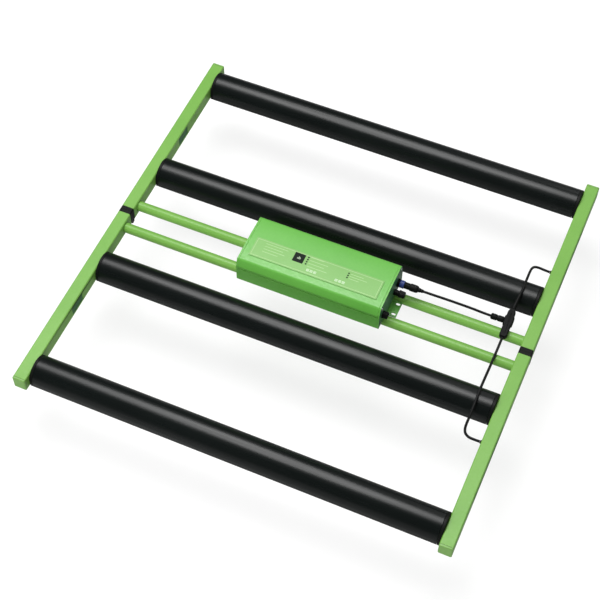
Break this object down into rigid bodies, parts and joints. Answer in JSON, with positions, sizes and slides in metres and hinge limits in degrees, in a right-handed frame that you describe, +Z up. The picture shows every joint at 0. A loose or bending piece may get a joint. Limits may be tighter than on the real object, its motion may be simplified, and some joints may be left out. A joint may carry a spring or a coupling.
{
  "type": "folding led grow light",
  "caption": "Folding grow light: half-round LED bars between split side rails, with a driver on round cross rods and leads to one rail.",
  "frame": {"origin": "middle of the light on the plane of the lens covers' undersides, on which it lies", "axes": "+X along the bars towards the rail with the leads, +Y along the rails away from the half that folds down, +Z up, away from the light side"},
  "size_m": [0.6, 0.6, 0.0648],
  "materials": {
    "green_coat": "satin powder coat",
    "panel_green": "satin printed panel",
    "bar_black": "black anodised",
    "black_plastic": "matte",
    "black_rubber": "matte",
    "blue_seal": "matte",
    "steel": "bright",
    "lens_frosted": "frosted translucent",
    "board_white": "white solder mask",
    "potting": "matte potting"
  },
  "bodies": {
    "far_half": {"bar_1_housing": "bar_black", "bar_1_led_board": "board_white", "bar_1_lens": "lens_frosted", "bar_1_cap_left": "black_plastic", "bar_1_cap_right": "black_plastic", "bar_2_housing": "bar_black", "bar_2_led_board": "board_white", "bar_2_lens": "lens_frosted", "bar_2_cap_left": "black_plastic", "bar_2_cap_right": "black_plastic", "rail_left_far": "green_coat", "rail_right_far": "green_coat", "end_cap_left_far": "green_coat", "end_cap_right_far": "green_coat", "cross_rod_far": "green_coat", "hinge_leaf_left_far": "black_plastic", "hinge_leaf_right_far": "black_plastic", "hinge_pin_left": "steel", "hinge_pin_right": "steel", "driver_tray": "green_coat", "driver_cover": "green_coat", "driver_end_plate_left": "green_coat", "driver_end_plate_right": "green_coat", "driver_panel": "panel_green", "power_circuit": "potting", "mounting_strap": "green_coat", "rod_clamp_left": "green_coat", "rod_clamp_right": "green_coat", "output_socket": "black_plastic", "seal_ring": "blue_seal", "output_plug": "black_plastic", "dimmer_bushing": "black_plastic", "mains_inlet": "black_plastic", "main_lead": "black_rubber", "splitter_plug": "black_plastic", "splitter": "black_plastic", "lead_far": "black_rubber", "lead_near": "black_rubber", "grommet_far": "black_rubber"},
    "near_half": {"bar_3_housing": "bar_black", "bar_3_led_board": "board_white", "bar_3_lens": "lens_frosted", "bar_3_cap_left": "black_plastic", "bar_3_cap_right": "black_plastic", "bar_4_housing": "bar_black", "bar_4_led_board": "board_white", "bar_4_lens": "lens_frosted", "bar_4_cap_left": "black_plastic", "bar_4_cap_right": "black_plastic", "rail_left_near": "green_coat", "rail_right_near": "green_coat", "end_cap_left_near": "green_coat", "end_cap_right_near": "green_coat", "cross_rod_near": "green_coat", "hinge_leaf_left_near": "black_plastic", "hinge_leaf_right_near": "black_plastic", "grommet_near": "black_rubber"},
    "dimmer": {"dimmer_knob": "black_plastic"}
  },
  "joints": [
    {"name": "fold", "type": "hinge", "parent": "far_half", "child": "near_half", "pos_m": [0, 0, 0.004], "axis": [1, 0, 0], "range_deg": [0, 170], "deforming": ["lead_near"]},
    {"name": "dimmer_turn", "type": "hinge", "parent": "far_half", "child": "dimmer", "pos_m": [0.1096, 0.0115, 0.037], "axis": [1, 0, 0], "range_deg": [0, 270]}
  ]
}
